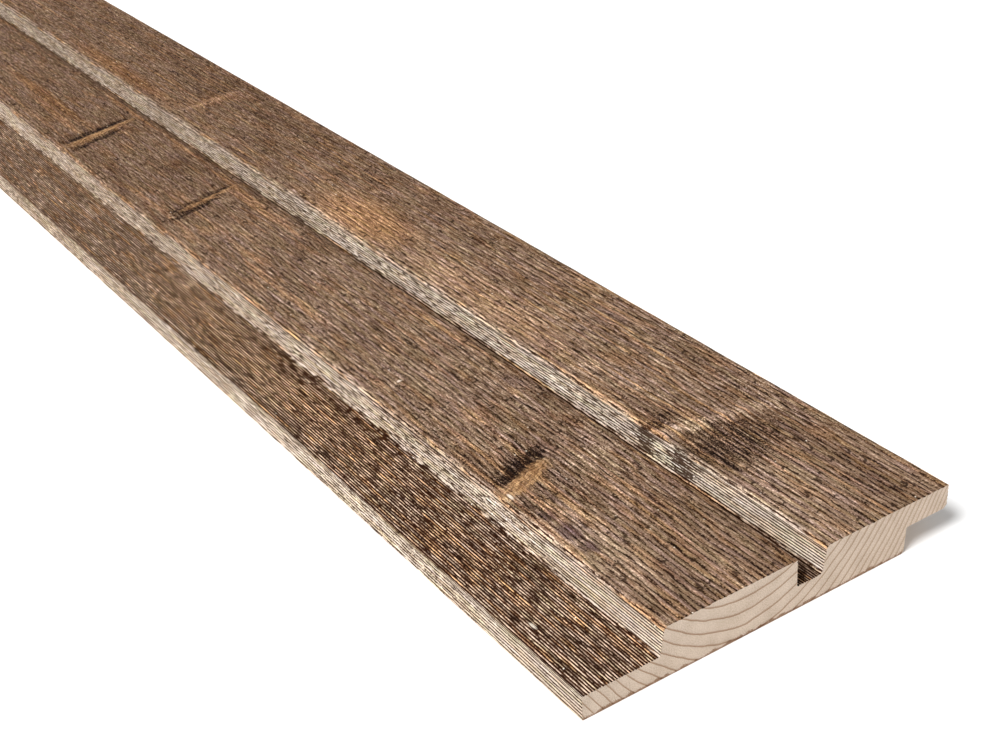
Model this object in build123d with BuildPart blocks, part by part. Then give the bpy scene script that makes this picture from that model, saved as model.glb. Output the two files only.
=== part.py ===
from build123d import *

import os
from math import isclose, radians, tan

# Spruce cladding board: one length of solid wood, sawn and moulded to a lapped section.
#
# The lip along one edge passes under the nose of the next board. The groove between the two flat
# faces repeats the joint that shows where two boards meet, so one board reads as two narrow ones.
#
# Frame: X across the board with the lip at -X, Y along it, Z up from the back, which lies on the
# floor. The origin is the middle of the back. Lengths are in millimetres, angles in degrees.

# Stock size
board_length = 1800.0
board_width = 148.0
board_thickness = 19.0

# Lapped joint between neighbouring boards
lip_thickness = 9.0
lap_clearance = 1.0  # between a lip and the nose that covers it
nose_overhang = 18.5
expansion_gap = 1.2  # between the end of a lip and the wall of the rebate that takes it
joint_mouth = 12.2  # shadow line that shows at the face
wall_slope = 9.0  # lean of the pale wall beside a joint, from upright

# Groove that repeats the joint
first_face_width = 52.0  # flat face between the lip's wall and the groove
groove_side_slope = 4.0  # lean of its steep side, from upright

# Edges of the section
shoulder_radius = 1.8  # where a leaning wall meets the face
groove_root_radius = 1.0
rebate_root_radius = 0.8
nose_chamfer = 1.3
back_chamfer = 1.0
arris = 0.4  # the other outer corners, lightly eased
level_tolerance = 0.001  # corners closer in height than this count as level

# The lip's top and the groove's floor lie at one height, so both joints look equally deep. The lip
# is as wide as its neighbour's nose, the gap beside it and the mouth of the joint need.
joint_depth = board_thickness - lip_thickness
wall_run = joint_depth * tan(radians(wall_slope))
side_run = joint_depth * tan(radians(groove_side_slope))
lip_width = nose_overhang - expansion_gap + joint_mouth - wall_run
rebate_height = lip_thickness + lap_clearance

# Stations across the section, from the lip to the nose
lip_edge = -board_width / 2
wall_foot = lip_edge + lip_width
first_shoulder = wall_foot + wall_run
groove_edge = first_shoulder + first_face_width
second_shoulder = groove_edge + joint_mouth
nose_tip = board_width / 2


def corners_at(sketch, height):
    """The sketch's corners at one height above the back, from the lip to the nose."""
    level = sketch.vertices().filter_by(lambda corner: isclose(corner.Y, height, abs_tol=level_tolerance))
    return level.sort_by(Axis.X)


with BuildPart() as board:
    with BuildSketch(Plane.XZ) as section:
        Rectangle(board_width, board_thickness, align=(Align.CENTER, Align.MIN))

        # Space above the lip, closed by the first leaning wall
        with BuildLine():
            Polyline(
                (lip_edge, lip_thickness),
                (wall_foot, lip_thickness),
                (first_shoulder, board_thickness),
                (lip_edge, board_thickness),
                close=True,
            )
        make_face(mode=Mode.SUBTRACT)

        # Groove with one steep side, like a nose, and one that leans like the wall beside the lip
        with BuildLine():
            Polyline(
                (groove_edge + side_run, lip_thickness),
                (second_shoulder - wall_run, lip_thickness),
                (second_shoulder, board_thickness),
                (groove_edge, board_thickness),
                close=True,
            )
        make_face(mode=Mode.SUBTRACT)

        # Rebate below the nose
        with Locations((nose_tip, 0)):
            Rectangle(nose_overhang, rebate_height, align=(Align.MAX, Align.MIN), mode=Mode.SUBTRACT)

        # Face: the two shoulders are rounded, the sharper edges after them only eased
        fillet(corners_at(section, board_thickness)[0::2], shoulder_radius)
        fillet(corners_at(section, board_thickness)[1::2], arris)

        # Joint floors: the groove's root is round, and the lip's outer corner eased
        fillet(corners_at(section, lip_thickness)[-1], groove_root_radius)
        fillet(corners_at(section, lip_thickness)[0], arris)

        # Rebate: a round root, and a lead-in on the nose
        fillet(corners_at(section, rebate_height)[0], rebate_root_radius)
        chamfer(corners_at(section, rebate_height)[-1], nose_chamfer)

        # Back corners
        chamfer(corners_at(section, 0)[-1], back_chamfer)
        fillet(corners_at(section, 0)[0], arris)

    extrude(amount=board_length / 2, both=True)

board.part.label = "spruce_board"

os.makedirs("parts", exist_ok=True)
export_step(board.part, "parts/spruce_board.step")
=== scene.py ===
from collections import namedtuple
from math import atan2, ceil, cos, pi, radians, sin, tan
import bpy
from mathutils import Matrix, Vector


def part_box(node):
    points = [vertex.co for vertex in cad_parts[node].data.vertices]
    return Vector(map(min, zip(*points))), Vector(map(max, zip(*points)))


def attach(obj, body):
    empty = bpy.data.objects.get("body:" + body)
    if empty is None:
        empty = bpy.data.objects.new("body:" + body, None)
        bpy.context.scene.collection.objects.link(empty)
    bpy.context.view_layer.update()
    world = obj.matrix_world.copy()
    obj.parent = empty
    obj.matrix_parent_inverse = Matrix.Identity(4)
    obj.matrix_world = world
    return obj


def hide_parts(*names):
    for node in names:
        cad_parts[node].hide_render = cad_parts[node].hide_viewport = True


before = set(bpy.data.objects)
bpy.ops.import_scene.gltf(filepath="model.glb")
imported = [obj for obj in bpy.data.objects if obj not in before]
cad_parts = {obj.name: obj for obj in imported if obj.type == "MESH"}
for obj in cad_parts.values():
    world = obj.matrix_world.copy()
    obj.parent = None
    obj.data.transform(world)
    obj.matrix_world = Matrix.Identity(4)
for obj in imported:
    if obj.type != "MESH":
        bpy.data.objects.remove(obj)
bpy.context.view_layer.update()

from types import SimpleNamespace

import bpy
import numpy as np
from mathutils import Matrix, Vector

# Spruce cladding board, lying on its back: fine-sawn and stained on the side that shows, bare on the back.
#
# Lengths are in millimetres in the frame of the solid, and become metres only where a mesh, a light or the
# camera is made. "Along" is the distance from the cut end that faces the camera, "across" is the distance
# round the section, which starts at the lower corner of the lip.

MM = 0.001

# Stock size, from the solid
node_low, node_high = (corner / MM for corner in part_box("spruce_board"))
front = node_low.y
board_length = node_high.y - node_low.y
lip_edge = node_low.x
nose_tip = node_high.x
board_thickness = node_high.z

# Section
lip_thickness = 9.0
lap_clearance = 1.0
nose_overhang = 18.5
expansion_gap = 1.2
joint_mouth = 12.2
wall_slope = radians(9)
first_face_width = 52.0
groove_side_slope = radians(4)
shoulder_radius = 1.8
groove_root_radius = 1.0
rebate_root_radius = 0.8
nose_chamfer = 1.3
back_chamfer = 1.0
arris = 0.4

joint_depth = board_thickness - lip_thickness
wall_run = joint_depth * tan(wall_slope)
side_run = joint_depth * tan(groove_side_slope)
rebate_height = lip_thickness + lap_clearance
wall_foot = lip_edge + nose_overhang - expansion_gap + joint_mouth - wall_run
first_shoulder = wall_foot + wall_run
groove_edge = first_shoulder + first_face_width
second_shoulder = groove_edge + joint_mouth
rebate_wall = nose_tip - nose_overhang

# Saw ribs run along the board on every surface of the sawn side: pitch, and the mesh's columns in each rib
rib_pitches = {
    "lip_edge": 1.35,
    "lip": 1.0,
    "first_wall": 1.0,
    "first_face": 2.12,
    "groove_side": 1.0,
    "groove_floor": 1.0,
    "second_wall": 1.0,
    "second_face": 2.26,
    "nose_edge": 1.35,
}
fine_columns = 2
face_columns = 4
fine_rib_depth = 0.28
face_rib_depth = 0.26
bare_step = 5.0  # widest column of the mesh on the bare surfaces

# Rows of the mesh along the board, closer where a knot is cut: end of each stretch, step
row_stretches = [
    (45, 5.0), (105, 1.6), (175, 6.0), (230, 3.0), (340, 7.0), (370, 2.0), (452, 7.0), (490, 2.0), (740, 9.0),
    (board_length, 18.0),
]

# Corners round the section: X, Z, radius, and the surface that starts there
Corner = namedtuple("Corner", "x z radius surface")
section = [
    Corner(lip_edge, 0, arris, "lip_edge"),
    Corner(lip_edge, lip_thickness, arris, "lip"),
    Corner(wall_foot, lip_thickness, 0, "first_wall"),
    Corner(first_shoulder, board_thickness, shoulder_radius, "first_face"),
    Corner(groove_edge, board_thickness, arris, "groove_side"),
    Corner(groove_edge + side_run, lip_thickness, 0, "groove_floor"),
    Corner(second_shoulder - wall_run, lip_thickness, groove_root_radius, "second_wall"),
    Corner(second_shoulder, board_thickness, shoulder_radius, "second_face"),
    Corner(nose_tip, board_thickness, arris, "nose_edge"),
    Corner(nose_tip, rebate_height + nose_chamfer, 0, "nose_chamfer"),
    Corner(nose_tip - nose_chamfer, rebate_height, 0, "nose_underside"),
    Corner(rebate_wall, rebate_height, rebate_root_radius, "rebate_wall"),
    Corner(rebate_wall, back_chamfer, 0, "back_chamfer"),
    Corner(rebate_wall - back_chamfer, 0, 0, "back"),
]
bare_surfaces = {"nose_chamfer", "nose_underside", "rebate_wall", "back_chamfer", "back"}


def rib_columns(surface):
    return face_columns if surface in ("first_face", "second_face") else fine_columns


def turn_at(before, corner, after):
    """Headings before and after a corner, the turn between, and how far off the corner its arc starts."""
    heading_in = atan2(corner.z - before.z, corner.x - before.x)
    heading_out = atan2(after.z - corner.z, after.x - corner.x)
    turn = (heading_out - heading_in + pi) % (2 * pi) - pi
    return heading_in, heading_out, turn, corner.radius * tan(abs(turn) / 2)


class Outline:
    """Columns of the mesh round the section, with their outward normals and the distance across."""

    def __init__(self, corners):
        self.points = []
        self.normals = []
        self.surfaces = []
        self.ribs = []
        self.rib = 0.0
        count = len(corners)
        for place in range(count):
            self.rib = float(ceil(self.rib))
            self.add_corner(*[corners[(place + step) % count] for step in (-1, 0, 1, 2)])
        self.points = np.array(self.points)
        self.normals = np.array(self.normals)
        self.ribs = np.array(self.ribs)
        steps = np.linalg.norm(np.roll(self.points, -1, axis=0) - self.points, axis=1)
        self.across = np.concatenate([[0], np.cumsum(steps)[:-1]])

    def add_corner(self, before, corner, after, beyond):
        """The corner's arc, if it has one, and the straight surface that follows as far as the next arc."""
        heading_in, heading_out, turn, setback = turn_at(before, corner, after)
        next_setback = turn_at(corner, after, beyond)[3]
        step = bare_step
        if corner.surface in rib_pitches:
            step = rib_pitches[corner.surface] / rib_columns(corner.surface)
        start = np.array([corner.x, corner.z]) - setback * np.array([cos(heading_in), sin(heading_in)])
        if corner.radius:
            side = 1 if turn > 0 else -1
            centre = start + side * corner.radius * np.array([-sin(heading_in), cos(heading_in)])
            count = max(2, round(corner.radius * abs(turn) / step))
            for share in np.arange(count) / count:
                heading = heading_in + turn * share
                arm = np.array([sin(heading), -cos(heading)])
                self.add(centre + side * corner.radius * arm, heading, corner.surface)
        run_start = np.array([corner.x, corner.z]) + setback * np.array([cos(heading_out), sin(heading_out)])
        run_end = np.array([after.x, after.z]) - next_setback * np.array([cos(heading_out), sin(heading_out)])
        count = max(1, ceil(np.linalg.norm(run_end - run_start) / step))
        for share in np.arange(count) / count:
            blunt = heading_in + turn / 2 if share == 0 and not corner.radius else heading_out
            self.add(run_start + (run_end - run_start) * share, blunt, corner.surface)

    def add(self, point, heading, surface):
        self.points.append(point)
        self.normals.append((-sin(heading), cos(heading)))
        self.surfaces.append(surface)
        self.ribs.append(self.rib)
        if surface in rib_pitches:
            self.rib += 1 / rib_columns(surface)

    def start(self, surface):
        """Distance across at which a surface starts, in the middle of the arc before it."""
        columns = [place for place, name in enumerate(self.surfaces) if name == surface]
        corner = next(corner for corner in section if corner.surface == surface)
        gaps = np.linalg.norm(self.points[columns] - (corner.x, corner.z), axis=1)
        return float(self.across[columns[int(np.argmin(gaps))]])

    def at(self, surface, x):
        """Distance across of a point on one of the level surfaces."""
        columns = [place for place, name in enumerate(self.surfaces) if name == surface]
        return float(np.interp(x, self.points[columns, 0], self.across[columns]))


outline = Outline(section)
starts = {corner.surface: outline.start(corner.surface) for corner in section}


class Field:
    """A number that varies over a surface. Arithmetic on fields adds nodes to the surface's material."""

    def __init__(self, surface, socket):
        self.surface = surface
        self.socket = socket

    def __add__(self, other):
        return self.surface.math("ADD", self, other)

    def __sub__(self, other):
        return self.surface.math("SUBTRACT", self, other)

    def __rsub__(self, other):
        return self.surface.math("SUBTRACT", other, self)

    def __mul__(self, other):
        return self.surface.math("MULTIPLY", self, other)

    def __truediv__(self, other):
        return self.surface.math("DIVIDE", self, other)

    def __abs__(self):
        return self.surface.math("ABSOLUTE", self)

    __radd__ = __add__
    __rmul__ = __mul__


class Surface:
    """A material that is worked out from fields."""

    def __init__(self, name):
        self.material = bpy.data.materials.new(name)
        self.material.use_nodes = True
        self.tree = self.material.node_tree
        self.shader = self.tree.nodes["Principled BSDF"]

    def node(self, kind, inputs=(), **settings):
        node = self.tree.nodes.new(kind)
        for name, value in settings.items():
            setattr(node, name, value)
        for socket, value in inputs:
            self.plug(value, node.inputs[socket])
        return node

    def plug(self, value, socket):
        if isinstance(value, Field):
            self.tree.links.new(value.socket, socket)
        else:
            socket.default_value = value

    def math(self, operation, first, second=0.0):
        node = self.node("ShaderNodeMath", [(0, first), (1, second)], operation=operation)
        return Field(self, node.outputs[0])

    def smooth(self, value, start, end):
        inputs = [("Value", value), ("From Min", start), ("From Max", end)]
        node = self.node("ShaderNodeMapRange", inputs, interpolation_type="SMOOTHSTEP")
        return Field(self, node.outputs["Result"])

    def vector(self, *parts):
        return Field(self, self.node("ShaderNodeCombineXYZ", list(enumerate(parts))).outputs[0])

    def parts(self, vector):
        node = self.node("ShaderNodeSeparateXYZ", [(0, vector)])
        return [Field(self, socket) for socket in node.outputs]

    def attribute(self, name):
        node = self.node("ShaderNodeAttribute", attribute_name=name)
        return self.parts(Field(self, node.outputs["Vector"]))

    def position(self):
        """Place in the frame of the solid, in millimetres."""
        socket = self.node("ShaderNodeTexCoord").outputs["Object"]
        return [part / MM for part in self.parts(Field(self, socket))]

    def noise(self, first, second, seed, detail=2.0, roughness=0.5):
        """Smooth noise, mostly between -1 and 1."""
        spread = 5.0
        place = self.vector(first + seed * 37.7, second + seed * 17.3, 0.0)
        inputs = [("Vector", place), ("Scale", 1.0), ("Detail", detail), ("Roughness", roughness)]
        node = self.node("ShaderNodeTexNoise", inputs, noise_dimensions="2D")
        return (Field(self, node.outputs[0]) - 0.5) * spread

    def cells(self, first, second):
        """Scattered points: where a spot lies from the nearest one, and that point's own three chances."""
        place = self.vector(first, second, 0.0)
        node = self.node("ShaderNodeTexVoronoi", [("Vector", place), ("Scale", 1.0)], voronoi_dimensions="2D")
        centre = self.parts(Field(self, node.outputs["Position"]))
        chances = self.parts(Field(self, node.outputs["Color"]))
        return first - centre[0], second - centre[1], chances

    def ramp(self, value, *stops):
        """Colour for a value between 0 and 1: stops are the place and the colour."""
        node = self.node("ShaderNodeValToRGB", [(0, value)])
        elements = node.color_ramp.elements
        while len(elements) < len(stops):
            elements.new(0.5)
        for element, (place, colour) in zip(elements, stops):
            element.position = place
            element.color = (*colour, 1)
        return Field(self, node.outputs[0])

    def mix(self, share, first, second, way="MIX"):
        """Second colour over the first."""
        node = self.node("ShaderNodeMix", [(0, share)], data_type="RGBA", blend_type=way)
        for socket, colour in ((6, first), (7, second)):
            self.plug(colour if isinstance(colour, Field) else (*colour, 1), node.inputs[socket])
        return Field(self, node.outputs[2])

    def tint(self, share, colour, tint):
        """The colour, multiplied by the tint."""
        return self.mix(share, colour, tint, way="MULTIPLY")

    def finish(self, colour, roughness, relief, shine=0.2):
        """Links the colour and the roughness, and a relief in millimetres as bump."""
        bump = self.node("ShaderNodeBump", [("Height", relief), ("Distance", MM), ("Strength", 1.0)])
        self.plug(colour, self.shader.inputs["Base Color"])
        self.plug(roughness, self.shader.inputs["Roughness"])
        self.shader.inputs["Specular IOR Level"].default_value = shine
        self.tree.links.new(bump.outputs[0], self.shader.inputs["Normal"])
        return self.material


def smooth(value, start, end):
    """0 before start, 1 after end and a smooth rise between, for a field or an array."""
    if isinstance(value, Field):
        return value.surface.smooth(value, start, end)
    share = np.clip((value - start) / (end - start), 0, 1)
    return share * share * (3 - 2 * share)


def between(value, start, end, soft):
    """1 from start to end, with soft edges."""
    return smooth(value, start - soft, start + soft) * smooth(value, end + soft, end - soft)


def largest(*fields):
    result = fields[0]
    for field in fields[1:]:
        result = result.surface.math("MAXIMUM", result, field)
    return result


# Knots, cut lengthwise: tapered bands across the grain. Start and end are X and the place along, widths are
# half widths at the start and the end, bulge is what the middle has more, rise is how far it stands up
Knot = namedtuple("Knot", "surface start end widths bulge rise strength")
hearts = [
    Knot("first_face", (-44, 462), (8, 482), (1.7, 0.2), 1.2, 0.35, 0.8),
    Knot("first_face", (-34, 353.5), (6, 366.8), (0.9, 0.2), 1.2, 0.3, 0.8),
    Knot("first_face", (-44, 78.5), (-18, 91), (1.2, 1.2), 2.6, 0.4, 0.75),
]
ridges = [
    Knot("second_face", (20, 79), (68, 70.5), (4.2, 1.0), 0.4, 0.4, 1.0),
    Knot("second_face", (24, 474), (68, 483.5), (2.4, 1.2), 1.4, 0.3, 1.0),
]
shades = [
    Knot("first_face", (-50, 87.5), (-12, 99.5), (1.0, 0.5), 5.0, -0.5, 1.0),
    Knot("first_face", (-47, 469), (8, 485.5), (2.0, 0.6), 1.2, -0.3, 0.95),
    Knot("first_face", (-47, 455.5), (-2, 474.5), (1.4, 0.4), 1.2, -0.3, 0.8),
    Knot("first_face", (-40, 354), (7, 370), (1.2, 0.5), 1.4, -0.3, 0.95),
    Knot("first_face", (-42, 347), (-2, 361.5), (1.8, 0.4), 1.0, -0.2, 0.9),
]

# Patches of colour: surface, X and place along of the middle, half sizes, strength
Patch = namedtuple("Patch", "surface middle sizes strength")
dark_patches = [
    Patch("second_face", (37, 60), (28, 20), 0.7),
    Patch("second_face", (25, 86), (15, 6), 0.6),
    Patch("second_face", (58, 506), (24, 26), 0.25),
    Patch("first_face", (-42, 71), (9, 7), 0.5),
    Patch("first_face", (-40, 101), (17, 17), 0.4),
    Patch("first_face", (-30, 353), (6, 4), 0.7),
    Patch("lip", (-63, 97), (11, 9), 0.45),
    Patch("lip", (-48, 113), (7, 12), 0.5),
    Patch("lip", (-50, 70), (6, 20), 0.3),
    Patch("lip", (-49, 210), (7, 34), 0.5),
    Patch("lip", (-48, 155), (5, 60), 0.55),
]
orange_patches = [
    Patch("second_face", (33, 297), (20, 50), 0.85),
    Patch("second_face", (30, 200), (14, 80), 0.35),
    Patch("second_face", (46, 479), (26, 9), 0.6),
    Patch("first_face", (-22, 545), (5, 80), 0.8),
    Patch("second_face", (27, 560), (7, 90), 0.8),
    Patch("lip", (-62, 88), (8, 9), 0.6),
    Patch("lip", (-58, 230), (16, 150), 0.4),
]
purple_patches = [
    Patch("first_face", (-38.2, 64), (3.5, 4.5), 1.0),
    Patch("first_face", (-37.7, 53), (4.5, 7), 1.0),
    Patch("first_face", (-37.2, 43), (4, 5), 1.0),
]
light_patches = [
    Patch("second_face", (25, 484), (7, 9), 1.5),
    Patch("second_face", (33, 297), (20, 50), 1.6),
    Patch("second_face", (30, 195), (14, 85), 1.1),
    Patch("second_face", (32, 20), (18, 30), 1.0),
    Patch("first_face", (-34, 44), (16, 34), 1.3),
    Patch("first_face", (-34.5, 354), (2.6, 1.4), 4.0),
]
chips = [
    Patch("lip", (-66.6, 33), (0.7, 2.6), 1.0),
    Patch("first_face", (-31, 164), (1.4, 0.8), 1.0),
    Patch("first_face", (-42, 79), (0.8, 2.2), 1.0),
]
mirror_place = 750.0  # beyond the part that the photo shows, the same knots return in reverse


def knot_along(along):
    """Place along for knots and patches, which runs back after the mirror place."""
    return mirror_place - abs(along - mirror_place)


def knot_place(knot, across, along):
    """Share of the knot's length, distance from its line and half width there, for fields or arrays."""
    start = np.array([outline.at(knot.surface, knot.start[0]), knot.start[1]])
    end = np.array([outline.at(knot.surface, knot.end[0]), knot.end[1]])
    length = float(np.linalg.norm(end - start))
    right, ahead = (float(part) for part in (end - start) / length)
    share = ((across - float(start[0])) * right + (along - float(start[1])) * ahead) / length
    offset = (along - float(start[1])) * right - (across - float(start[0])) * ahead
    half = knot.widths[0] + (knot.widths[1] - knot.widths[0]) * share + share * (1 - share) * (4 * knot.bulge)
    return share, offset, half


def knot_cover(knot, across, along, soft):
    """1 inside a knot, 0 outside, for fields or arrays."""
    share, offset, half = knot_place(knot, across, along)
    return smooth(half - abs(offset), -soft, soft) * between(share, 0.0, 1.0, 0.03)


def knot_shade(knot, across, along):
    """Dark wood beside a knot: darkest on its near side, fading away from the camera's end of the board."""
    share, offset, half = knot_place(knot, across, along)
    depth = smooth(offset / half, 2.0, -0.5) * smooth(offset / half, -1.4, -0.8)
    return depth * between(share, 0.1, 0.9, 0.1) * knot.strength


def patch_cover(patch, across, along):
    middle = outline.at(patch.surface, patch.middle[0])
    side = (across - middle) / patch.sizes[0]
    ahead = (along - patch.middle[1]) / patch.sizes[1]
    return smooth(side * side + ahead * ahead, 1.0, 0.0) * patch.strength


# Stretches along the board: where the first wall's root is torn, where the walls are rough, and where the
# knot beside the groove crosses the second wall
torn_root = (176, 226)
rough_walls = (70, 420)
knot_bars = [(81, 89), (60, 72)]

# Colours of the wood from dark to light: place between 0 and 1, linear colour
stain_tones = [
    (0.0, (0.030, 0.012, 0.005)),
    (0.2, (0.086, 0.043, 0.021)),
    (0.4, (0.165, 0.098, 0.060)),
    (0.55, (0.242, 0.155, 0.100)),
    (0.7, (0.320, 0.217, 0.151)),
    (0.85, (0.470, 0.332, 0.234)),
    (1.0, (0.790, 0.590, 0.440)),
]
wall_tones = [
    (0.2, (0.270, 0.195, 0.135)),
    (0.5, (0.500, 0.400, 0.310)),
    (0.75, (0.700, 0.590, 0.480)),
    (1.0, (0.930, 0.860, 0.770)),
]
heart_tones = [(0.0, (0.080, 0.034, 0.014)), (0.5, (0.330, 0.170, 0.072)), (1.0, (0.720, 0.450, 0.220))]
planed_tones = [(0.0, (0.42, 0.31, 0.22)), (0.5, (0.60, 0.47, 0.35)), (1.0, (0.76, 0.63, 0.50))]
end_tones = [(0.0, (0.39, 0.295, 0.210)), (0.5, (0.590, 0.470, 0.370)), (1.0, (0.76, 0.64, 0.53))]
chip_colour = (0.85, 0.75, 0.62)

# Tints, which multiply the colour below them
golden_tint = (1.18, 0.92, 0.62)
pink_tint = (0.98, 0.97, 1.14)
olive_tint = (0.94, 1.0, 0.80)
purple_tint = (0.42, 0.38, 0.46)
# stain and painted shade, darkening the valleys between the ribs
valley_stain_and_shade_tint = (0.060, 0.028, 0.014)
# painted shade over the side and floor of the groove
groove_shade_tint = (0.36, 0.31, 0.27)
planed_ring_tint = (0.86, 0.68, 0.48)
end_ring_tint = (0.46, 0.32, 0.21)
# painted contact shadow along the lower edge of the cut end
end_contact_shade_tint = (0.34, 0.20, 0.10)

# Growth rings: parabolas about a pith below the back, numbered outwards
ring_bend = 0.013
ring_middle = -12.0
ring_spacing = 4.8


def ring_share(surface, x, z, sway):
    """Place between one ring's start, 0, and its dense outer edge, 1."""
    side = x - ring_middle
    count = (side * side * ring_bend - z + sway) / ring_spacing
    inner_rings = 40
    return surface.math("FRACT", count + inner_rings)


def hooks(s, across, along, size, seed):
    """Marks of fibres that the saw tore out: a short bent cut across the grain with a tail along it."""
    warp = s.noise(across * 0.9, along * 0.5, seed) * 0.4
    stretch = 1.25
    side, ahead, chance = s.cells((across + warp + seed) / size, along / (size * stretch))
    side = side * size * s.math("SIGN", chance[0] - 0.5)
    ahead = (ahead * (size * stretch) + warp) * s.math("SIGN", chance[1] - 0.5)
    bend = smooth(abs(ahead - side * side * 0.4), 0.75, 0.3) * smooth(abs(side), chance[1] * 1.6 + 0.7, 0.5)
    tail = smooth(abs(side - 0.8), 0.65, 0.25) * between(ahead, 0.2, chance[0] * 6 - 2.5, 0.5)
    return largest(bend, tail) * smooth(chance[2], 0.5, 0.7)


def sawn_grain(s):
    """Places on the sawn side, and noise of several sizes that is longer along the grain than across it."""
    across, along, rib = s.attribute("place")
    grain = SimpleNamespace(across=across, along=along, rib=rib, place=knot_along(along))
    grain.fibre = s.noise(across * 1.3, along * 0.05, 4, detail=2, roughness=0.75)
    grain.dash = s.noise(across * 1.6, along * 0.2, 3, detail=2, roughness=0.65)
    grain.speck = s.noise(across * 2.0, along * 1.3, 6, detail=1)
    grain.bright = s.noise(rib * 0.9, along * 0.07, 15, detail=3, roughness=0.6)
    grain.streak = s.noise(across * 0.45, along * 0.06, 17, detail=2)
    grain.blotch = s.noise(across * 0.09, along * 0.025, 5, detail=2)
    grain.edge = s.noise(across * 0.25, along * 0.4, 10, detail=3)
    grain.grit = grain.dash * 0.5 + grain.speck * 0.5
    grain.near = smooth(grain.place, 70, 25)
    # Painted shade in part: from 180 to 430 mm along the board the wood grows darker and its ribs fainter,
    # and it turns lighter again towards the far end; the darkening stands in for light that falls off along
    # the board
    grain.deep = smooth(grain.place, 180, 430) * 0.1
    return grain


def add_pale_parts(s, grain):
    """Walls and edges where the stain is thin, with borders that fray along the grain."""
    across, dash, fibre = grain.across, grain.dash, grain.fibre
    rag = s.noise(grain.along * 0.06, across * 0.12, 1, detail=2, roughness=0.5)
    torn = between(grain.along, *torn_root, 6)
    first_foot = across + rag * (0.35 + torn * 0.5) + dash * (0.5 + torn * 0.7) + fibre * 0.3
    second_foot = across + rag * 0.35 + dash * 0.3
    top = across + rag * 0.9 + dash * 0.9 + fibre * 0.4
    first_wall = between(first_foot, starts["first_wall"] + 0.1, starts["first_face"] + 9, 0.5)
    second_wall = smooth(second_foot, starts["second_wall"] + 0.3, starts["second_wall"] + 1.3)
    grain.first_wall = first_wall * smooth(top, starts["first_face"] - 0.2, starts["first_face"] - 3.0)
    grain.second_wall = second_wall * smooth(top, starts["second_face"] + 1.2, starts["second_face"] - 2.8)
    grain.lip_side = smooth(across + rag * 0.5, starts["lip"] + 0.7, starts["lip"] - 0.5)
    nose = smooth(across + rag * 0.4, starts["nose_edge"] - 0.2, starts["nose_edge"] + 0.6)
    grain.pale = largest(grain.first_wall, grain.second_wall, grain.lip_side, nose)
    grain.rough_wall = between(grain.place, *rough_walls, 40) * largest(grain.first_wall, grain.second_wall)


def add_ribs(s, grain):
    """Flat faces, the torn places on them, and the saw's ribs, which waver and fade there."""
    across = grain.across
    grain.face = largest(
        between(across, starts["first_face"] + 0.6, starts["groove_side"] - 0.4, 0.6),
        between(across, starts["second_face"] + 0.9, starts["nose_edge"] - 0.4, 0.6),
    )
    shoulders = [starts["first_face"], starts["second_face"]]
    grain.calm = largest(*[between(across, shoulder - 1.0, shoulder + 0.9, 0.5) for shoulder in shoulders])
    stray = s.noise(across * 0.5, grain.along * 0.09, 16, detail=2) * (grain.face * 0.2)
    faint = smooth(grain.streak + grain.bright * 0.4, 0.6, -0.8) * grain.face
    faint = faint * (smooth(grain.place, 60, 260) * 0.4 + 0.22)
    grain.wave = s.math("COSINE", (grain.rib + stray) * (2 * pi)) * (1 - largest(grain.calm * 0.5, faint))
    grain.torn = hooks(s, across, grain.along, 7.0, 11) * (grain.face * 0.5 + 0.4) * (1 - grain.pale)


def add_knot_tones(grain):
    """Wood that the knots and patches make darker or lighter."""
    across, place = grain.across, grain.place
    frayed = (across + grain.dash * 1.5, place + grain.edge * 3)
    grain.shade = largest(
        *[knot_shade(knot, across + grain.dash * 0.6, place + grain.edge * 1.5) for knot in shades],
        *[patch_cover(patch, *frayed) for patch in dark_patches],
    )
    grain.light = largest(
        *[patch_cover(patch, *frayed) for patch in light_patches],
        *[knot_cover(knot, across, place + grain.edge * 1.5, 2.5) * 2.4 for knot in ridges],
    )


def fine_valleys(s, grain):
    """Narrow dark lines between fine ribs, with dark crumbs on the lip, and dashes and bars on the walls."""
    wave, dash, speck = grain.wave, grain.dash, grain.speck
    ridge = wave * 0.5 + 0.5 + dash * 0.28 + speck * 0.08
    ridge = ridge + grain.streak * 0.05 + grain.bright * 0.06 + grain.calm * 0.35
    crumb = s.noise(grain.across * 0.6, grain.along * 0.25, 18, detail=2)
    crumbs = smooth(grain.shade + crumb * 0.45 + grain.grit * 0.2, 0.45, 0.75)
    crumbs = crumbs * smooth(grain.shade, 0.02, 0.2)
    lip_gap = largest(smooth(ridge, 1.0, 0.58), crumbs)

    on_wall = between(grain.across, starts["groove_floor"] + 5, starts["second_face"] - 0.6, 0.6)
    bars = largest(*[between(grain.place + grain.edge * 2, *bar, 2.5) for bar in knot_bars]) * on_wall
    dashes = grain.rough_wall * smooth(dash + grain.fibre * 0.3, -0.1, -0.9) * (1.4 - wave)
    wall_ridge = wave * 0.5 + (dash * 0.45 + speck * 0.15) * (1 - grain.near * 0.55)
    wall_gap = smooth(wall_ridge - dashes * 0.5 - bars * 0.6, 0.2, -0.35)
    return (lip_gap + (wall_gap - lip_gap) * grain.pale) * (1 - grain.deep * 2.2)


def face_valleys(grain):
    """Broken dark dashes between the wide ribs of the faces, more even towards the near end."""
    wave = grain.wave
    valley = smooth(wave + grain.dash * 0.4 + grain.speck * 0.3, -0.3, -0.95)
    even = largest(smooth(grain.bright + grain.fibre * 0.4, 0.8, -0.6), grain.near * 0.8)
    gap = valley * (0.5 + even * 0.5) * (1 - grain.deep * 5)
    return largest(gap, smooth(grain.grit * 0.8 + wave * 0.35 + 1.0 - grain.shade * 1.6, 0.6, -0.6))


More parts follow.
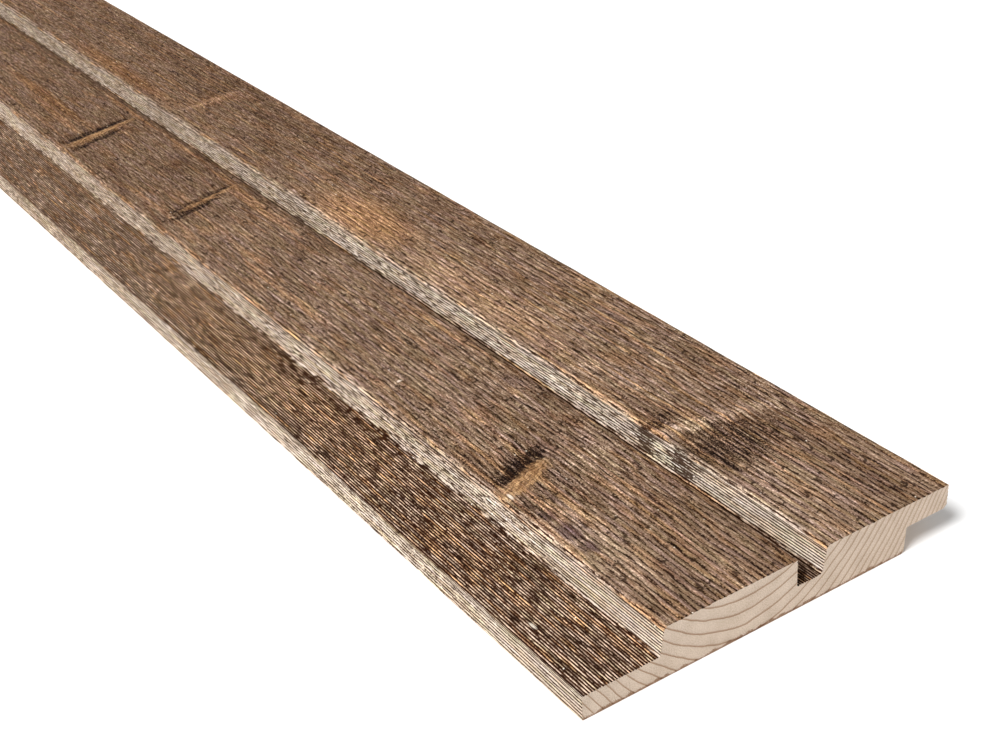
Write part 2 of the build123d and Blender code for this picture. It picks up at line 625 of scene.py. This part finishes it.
def wood_tone(grain, x, ring):
    """Lightness of the stained wood, from 0 to 1."""
    fibre, dash, speck, bright = grain.fibre, grain.dash, grain.speck, grain.bright
    pale, near, deep = grain.pale, grain.near, grain.deep
    # Painted shade: the tone of the walls and faces is lowered along the middle of the board
    thin = deep * 2.2 + grain.lip_side * 0.09 + grain.rough_wall * grain.first_wall * 0.07 + 0.17
    fine_grain = (fibre * 0.15 + dash * 0.15 + bright * 0.07 + speck * 0.08) * (1 - pale * near * 0.5)
    fine_tone = 0.83 - pale * thin + fine_grain - deep * (1 - pale) * 1.7

    darker_side = largest(between(x, -4, 12, 9), smooth(x, 38, 62))
    face_grain = (fibre * 0.15 + dash * 0.24 + speck * 0.21) * (1 - near * 0.3)
    face_ribs = grain.wave * (0.11 - deep * 0.8 + bright * 0.08)
    face_tone = 0.47 - darker_side * 0.04 + face_ribs + face_grain + ring * 0.1 - deep * 1.2

    tone = fine_tone + (face_tone - fine_tone) * grain.face
    return tone + grain.blotch * 0.06 + grain.light * 0.09 - grain.shade * (grain.face * 0.15 + 0.05)


def tinted(s, grain, colour, ring):
    """Golden fibres and growth rings, and pink, olive or purple stain between."""
    across, along, place = grain.across, grain.along, grain.place
    gold = smooth(s.noise(grain.rib * 0.6, along * 0.05, 14, detail=1), 0.1, 1.0) * (0.85 - grain.face * 0.45)
    frayed = (across + grain.dash * 1.5, place + grain.fibre * 6)
    covers = [patch_cover(patch, *frayed) for patch in orange_patches]
    colour = s.tint(largest(ring * 0.65, gold, *covers) * (1 - grain.pale * 0.7), colour, golden_tint)
    hue = s.noise(across * 0.5, along * 0.05, 9, detail=2)
    colour = s.tint(smooth(hue, 0.0, 1.0) * (grain.face * 0.5 + 0.3), colour, pink_tint)
    colour = s.tint(smooth(hue, 0.0, -1.0) * 0.5, colour, olive_tint)
    frayed = (across + grain.dash * 0.6, place + grain.fibre * 1.5)
    covers = [patch_cover(patch, *frayed) for patch in purple_patches]
    return s.tint(largest(*covers), colour, purple_tint)


def sawn_side():
    """Stained and fine-sawn: ribs along the board, torn fibres on the faces, pale leaning walls."""
    s = Surface("sawn_spruce")
    x, y, z = s.position()
    grain = sawn_grain(s)
    add_pale_parts(s, grain)
    add_ribs(s, grain)
    add_knot_tones(grain)
    across, along, place = grain.across, grain.along, grain.place
    face, pale = grain.face, grain.pale

    late = ring_share(s, x, z, s.noise(across * 0.02, along * 0.006, 7, detail=3) * 2.0)
    ring = between(late, 0.62, 0.96, 0.06) * smooth(s.noise(across * 0.2, along * 0.012, 8), -0.4, 0.8)
    tone = wood_tone(grain, x, ring)
    colour = s.mix(pale, s.ramp(tone, *stain_tones), s.ramp(tone, *wall_tones))
    colour = tinted(s, grain, colour, ring)

    # Hearts of knots: golden fibres along the knot itself, and hardly any valleys
    fine_gap = fine_valleys(s, grain)
    gap = fine_gap + (face_valleys(grain) - fine_gap) * face
    for knot in hearts:
        share, offset, half = knot_place(knot, across, place + grain.edge * 0.8)
        length = abs(knot.end[0] - knot.start[0])
        knot_grain = s.noise(offset * 1.3, share * (length * 0.16), 13, detail=2)
        cover = smooth(half - abs(offset) + grain.grit * 1.2, -1.6, 2.0) * between(share, 0.1, 0.9, 0.1)
        colour = s.mix(cover * knot.strength, colour, s.ramp(knot_grain * 0.5 + 0.5, *heart_tones))
        gap = gap * (1 - cover * 0.75)

    # Stain and painted shade in the valleys, stain in the torn places, and painted shade all over the groove
    dark = largest(gap * (1 - pale * 0.05 - face * 0.04), grain.torn * 0.95)
    colour = s.tint(dark, colour, valley_stain_and_shade_tint)
    side, ahead, chance = s.cells(across / 4.1, along / 5.3)
    fleck = smooth(side * side + ahead * ahead, 0.005, 0.001) * smooth(chance[0], 0.965, 0.975)
    bare = largest(fleck, *[patch_cover(chip, across, place) for chip in chips])
    colour = s.mix(bare * 0.8, colour, chip_colour)
    # Painted shade: the side and floor of the groove are darkened all over
    groove = between(across, starts["groove_side"] - 1.0, starts["groove_floor"] + 9.5, 0.8)
    colour = s.tint(groove * 0.7, colour, groove_shade_tint)

    # The bump works its height out three times, so it has only two noises
    relief = grain.dash * 0.09 + grain.speck * 0.05
    return s.finish(colour, 0.8 + pale * 0.08, relief, shine=0.05)


def bare_back():
    """Planed spruce without stain: fine fibres, rings cut lengthwise and faint marks across the board."""
    s = Surface("bare_spruce")
    x, y, z = s.position()
    fibre = s.noise(x * 1.6, y * 0.05, 21, detail=3)
    late = ring_share(s, x, z, s.noise(x * 0.02, y * 0.004, 22, detail=3) * 3.0)
    line = between(late, 0.72, 0.97, 0.1)
    tone = 0.6 + fibre * 0.1 + s.noise(x * 0.05, y * 0.01, 23) * 0.08
    colour = s.tint(line * 0.5, s.ramp(tone, *planed_tones), planed_ring_tint)
    mark_pitch = 2.6
    marks = s.math("SINE", y * (2 * pi / mark_pitch) + s.noise(x * 0.03, y * 0.02, 24) * 2)
    return s.finish(colour, 0.82, fibre * 0.03 + marks * 0.01 - line * 0.02)


def cut_end():
    """Cross-cut spruce: growth rings, broad and soft towards the nose, with pores, and a painted contact
    shadow along the lower edge.
    """
    s = Surface("cut_spruce")
    x, y, z = s.position()
    late = ring_share(s, x, z, s.noise(x * 0.08, z * 0.08, 31, detail=2) * 0.35)
    broad = smooth(x, 15, 50)
    line = smooth(late, 0.78 - broad * 0.4, 0.94) * smooth(late, 1.0, 0.97 - broad * 0.1)
    line = line + smooth(late, 0.4, 0.95) * 0.12
    pore = s.noise(x * 2.6, z * 2.6, 32, detail=3, roughness=0.7)
    tone = 0.5 + pore * 0.34 + s.noise(x * 0.15, z * 0.15, 33, detail=2) * 0.08
    colour = s.tint(line * (0.72 - broad * 0.22), s.ramp(tone, *end_tones), end_ring_tint)
    # Painted shadow: the lowest millimetre or so of the cut end is darkened where it meets the ground
    foot_contact_shade = smooth(z + pore * 0.3 + s.noise(x * 0.35, z * 0.1, 34) * 0.5, 1.3, 0.5)
    colour = s.tint(foot_contact_shade * 0.8, colour, end_contact_shade_tint)
    return s.finish(colour, 0.85, pore * 0.04 + line * 0.03)


def lattice_noise(across, along, seed):
    """Smooth noise between -1 and 1 on arrays, one random value at each whole number."""
    size = 64
    table = np.random.default_rng(seed).uniform(-1, 1, (size, size))
    column = np.floor(across).astype(int)
    row = np.floor(along).astype(int)
    side = smooth(across - column, 0, 1)
    ahead = smooth(along - row, 0, 1)
    left, right = column % size, (column + 1) % size
    near_row, far_row = row % size, (row + 1) % size
    near = table[left, near_row] * (1 - side) + table[right, near_row] * side
    far = table[left, far_row] * (1 - side) + table[right, far_row] * side
    return near * (1 - ahead) + far * ahead


def rows():
    """Places of the mesh's rows along the board."""
    places = []
    begin = 0.0
    for end, step in row_stretches:
        count = round((end - begin) / step)
        places += list(begin + (end - begin) * np.arange(count) / count)
        begin = end
    return np.array([*places, board_length])


def face_share(across):
    """1 on the two flat faces, falling to 0 at their edges."""
    faces = [("first_face", "groove_side"), ("second_face", "nose_edge")]
    spans = [(starts[begin], starts[end]) for begin, end in faces]
    shares = [smooth(across, begin + 1, begin + 4) * smooth(across, end - 1, end - 4) for begin, end in spans]
    return sum(shares)


def waver(across, along):
    """How far the ribs stray sideways on the flat faces, in millimetres."""
    slow = 0.4 * lattice_noise(across / 6, along / 22, 3)
    quick = 0.2 * lattice_noise(across / 3, along / 12, 4)
    return (slow + quick) * face_share(across)


def surface_relief(across, along, rib):
    """Height of the sawn side above the section's outline, in millimetres."""
    valley = 0.5 - 0.5 * np.cos(rib * 2 * np.pi)
    depth = fine_rib_depth + (face_rib_depth - fine_rib_depth) * face_share(across)
    depth = depth * (1 + (0.3 + 0.5 * face_share(across)) * lattice_noise(rib * 0.9, along / 10, 1))
    knots = hearts + ridges + shades
    covers = [knot_cover(knot, across, knot_along(along), 2.0) for knot in knots]
    smoothed = 0.9 * np.max(covers[:len(hearts)], axis=0)
    worn_tops = 0.08 * (lattice_noise(rib * 1.3, along / 9, 2) - 1)
    height = worn_tops - depth * (1 - smoothed) * valley
    return height + sum(knot.rise * cover for knot, cover in zip(knots, covers))


def board_mesh():
    """One closed mesh: columns that follow the saw ribs, rows across the board, and two flat ends."""
    along = rows()
    columns = len(outline.across)
    bare = np.array([name in bare_surfaces for name in outline.surfaces])
    across_grid, along_grid = np.meshgrid(outline.across, along)
    rib_grid = np.broadcast_to(outline.ribs, across_grid.shape)

    height = np.where(bare, 0, surface_relief(across_grid, along_grid, rib_grid))
    level = outline.points[None] + height[..., None] * outline.normals[None]
    level[..., 0] += np.where(bare, 0, waver(across_grid, along_grid))
    points = np.stack([level[..., 0], front + along_grid, level[..., 1]], axis=-1).reshape(-1, 3)

    first = np.arange(len(along) - 1)[:, None] * columns
    place = np.arange(columns)
    after = (place + 1) % columns
    beyond = first + columns
    quads = np.stack([beyond + place, beyond + after, first + after, first + place], axis=-1).reshape(-1, 4)
    near_end = list(range(columns))
    far_end = [columns * (len(along) - 1) + place for place in reversed(range(columns))]

    mesh = bpy.data.meshes.new("spruce_board_wood")
    mesh.from_pydata((points * MM).tolist(), [], [*quads.tolist(), near_end, far_end])
    mesh.update()

    parts = np.stack([across_grid, along_grid, rib_grid], axis=-1)
    store = mesh.attributes.new("place", "FLOAT_VECTOR", "POINT")
    store.data.foreach_set("vector", parts.astype(np.float32).ravel())

    for material in (sawn_side(), bare_back(), cut_end()):
        mesh.materials.append(material)
    kinds = np.concatenate([np.tile(bare.astype(np.int32), len(along) - 1), [2, 2]])
    mesh.polygons.foreach_set("material_index", kinds)
    bake_map(mesh, along, bare)
    return mesh


def bake_map(mesh, along, bare):
    """Flat layout of the surfaces: length along U, section along V, and the ends in a strip of their own."""
    columns = len(bare)
    sawn = int(np.argmax(bare))
    closing = np.linalg.norm(outline.points[0] - outline.points[-1])
    reach = np.append(outline.across, outline.across[-1] + closing)
    sawn_top, bare_bottom, bare_top = 0.78, 0.79, 0.90
    cap_size = (0.49, 0.085)
    near_cap_corner = (0, 0.91)
    far_cap_corner = (0.51, 0.91)
    sawn_strip = sawn_top * reach / reach[sawn]
    bare_share = (reach - reach[sawn]) / (reach[-1] - reach[sawn])
    bare_strip = bare_bottom + (bare_top - bare_bottom) * bare_share
    strip = np.arange(columns)
    near_v = np.where(bare, bare_strip[strip], sawn_strip[strip])
    next_v = np.where(bare, bare_strip[strip + 1], sawn_strip[strip + 1])
    u = along / board_length
    grid = np.empty((len(along) - 1, columns, 4, 2))
    grid[..., 0] = np.stack([u[1:], u[1:], u[:-1], u[:-1]], axis=-1)[:, None]
    grid[..., 1] = np.stack([near_v, next_v, next_v, near_v], axis=-1)[None]
    flat = (outline.points - (lip_edge, 0)) / (nose_tip - lip_edge, board_thickness)
    near_cap = flat * cap_size + near_cap_corner
    far_cap = flat[::-1] * cap_size + far_cap_corner
    layout = np.concatenate([grid.reshape(-1, 2), near_cap, far_cap])
    mesh.uv_layers.new(name="OFBake").data.foreach_set("uv", layout.astype(np.float32).ravel())


def board():
    """The one piece, in place of the plain solid."""
    mesh = board_mesh()
    piece = bpy.data.objects.new("spruce_board_wood", mesh)
    bpy.context.collection.objects.link(piece)
    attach(piece, "root")
    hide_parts("spruce_board")


def floor():
    """White ground below the board, which is no part of it."""
    half = 12.0
    mesh = bpy.data.meshes.new("floor")
    corners = [(-half, -half, 0), (half, -half, 0), (half, half, 0), (-half, half, 0)]
    mesh.from_pydata(corners, [], [(0, 1, 2, 3)])
    material = bpy.data.materials.new("studio_white")
    material.use_nodes = True
    shader = material.node_tree.nodes["Principled BSDF"]
    shader.inputs["Base Color"].default_value = (0.92, 0.92, 0.92, 1)
    shader.inputs["Roughness"].default_value = 0.9
    shader.inputs["Specular IOR Level"].default_value = 0.0
    mesh.materials.append(material)
    piece = bpy.data.objects.new("floor", mesh)
    bpy.context.collection.objects.link(piece)


def studio():
    """White all round and dimmer overhead, with one broad soft light from the upper left."""
    world = bpy.data.worlds.new("studio")
    world.use_nodes = True
    nodes = world.node_tree.nodes
    links = world.node_tree.links
    height = nodes.new("ShaderNodeSeparateXYZ")
    links.new(nodes.new("ShaderNodeTexCoord").outputs["Generated"], height.inputs[0])
    glow = nodes.new("ShaderNodeMapRange")
    white_height, dim_height = 0.22, 0.5
    white_glow, dim_glow = 1.02, 0.36
    glow.inputs["From Min"].default_value = white_height
    glow.inputs["From Max"].default_value = dim_height
    glow.inputs["To Min"].default_value = white_glow
    glow.inputs["To Max"].default_value = dim_glow
    links.new(height.outputs["Z"], glow.inputs["Value"])
    sky = nodes["Background"]
    sky.inputs["Color"].default_value = (1, 1, 1, 1)
    links.new(glow.outputs["Result"], sky.inputs["Strength"])
    bpy.context.scene.world = world
    bpy.context.scene.view_settings.view_transform = "Standard"

    light = bpy.data.lights.new("key", "SUN")
    light.energy = 4.1
    light.angle = radians(26)
    lamp = bpy.data.objects.new("key", light)
    aim = Vector((1.0, 0.14, -1.2))
    lamp.rotation_mode = "QUATERNION"
    lamp.rotation_quaternion = aim.to_track_quat("-Z", "Y")
    bpy.context.collection.objects.link(lamp)


def camera():
    """The photograph's view: its place, heading, tilt and roll."""
    place = Vector((-270.5, -1156.9, 299.5)) * MM
    heading = radians(-33.95)
    tilt = radians(-30.08)
    roll = radians(-1.9)
    turn = Matrix.Rotation(heading, 3, "Z") @ Matrix.Rotation(radians(90) + tilt, 3, "X")
    data = bpy.data.cameras.new("camera")
    data.sensor_width = 36.0
    data.lens = 55.42
    data.clip_start = 0.01
    view = bpy.data.objects.new("camera", data)
    view.location = place
    view.rotation_mode = "QUATERNION"
    view.rotation_quaternion = (turn @ Matrix.Rotation(roll, 3, "Z")).to_quaternion()
    bpy.context.collection.objects.link(view)
    bpy.context.scene.camera = view


board()
floor()
studio()
camera()

bpy.context.view_layer.update()
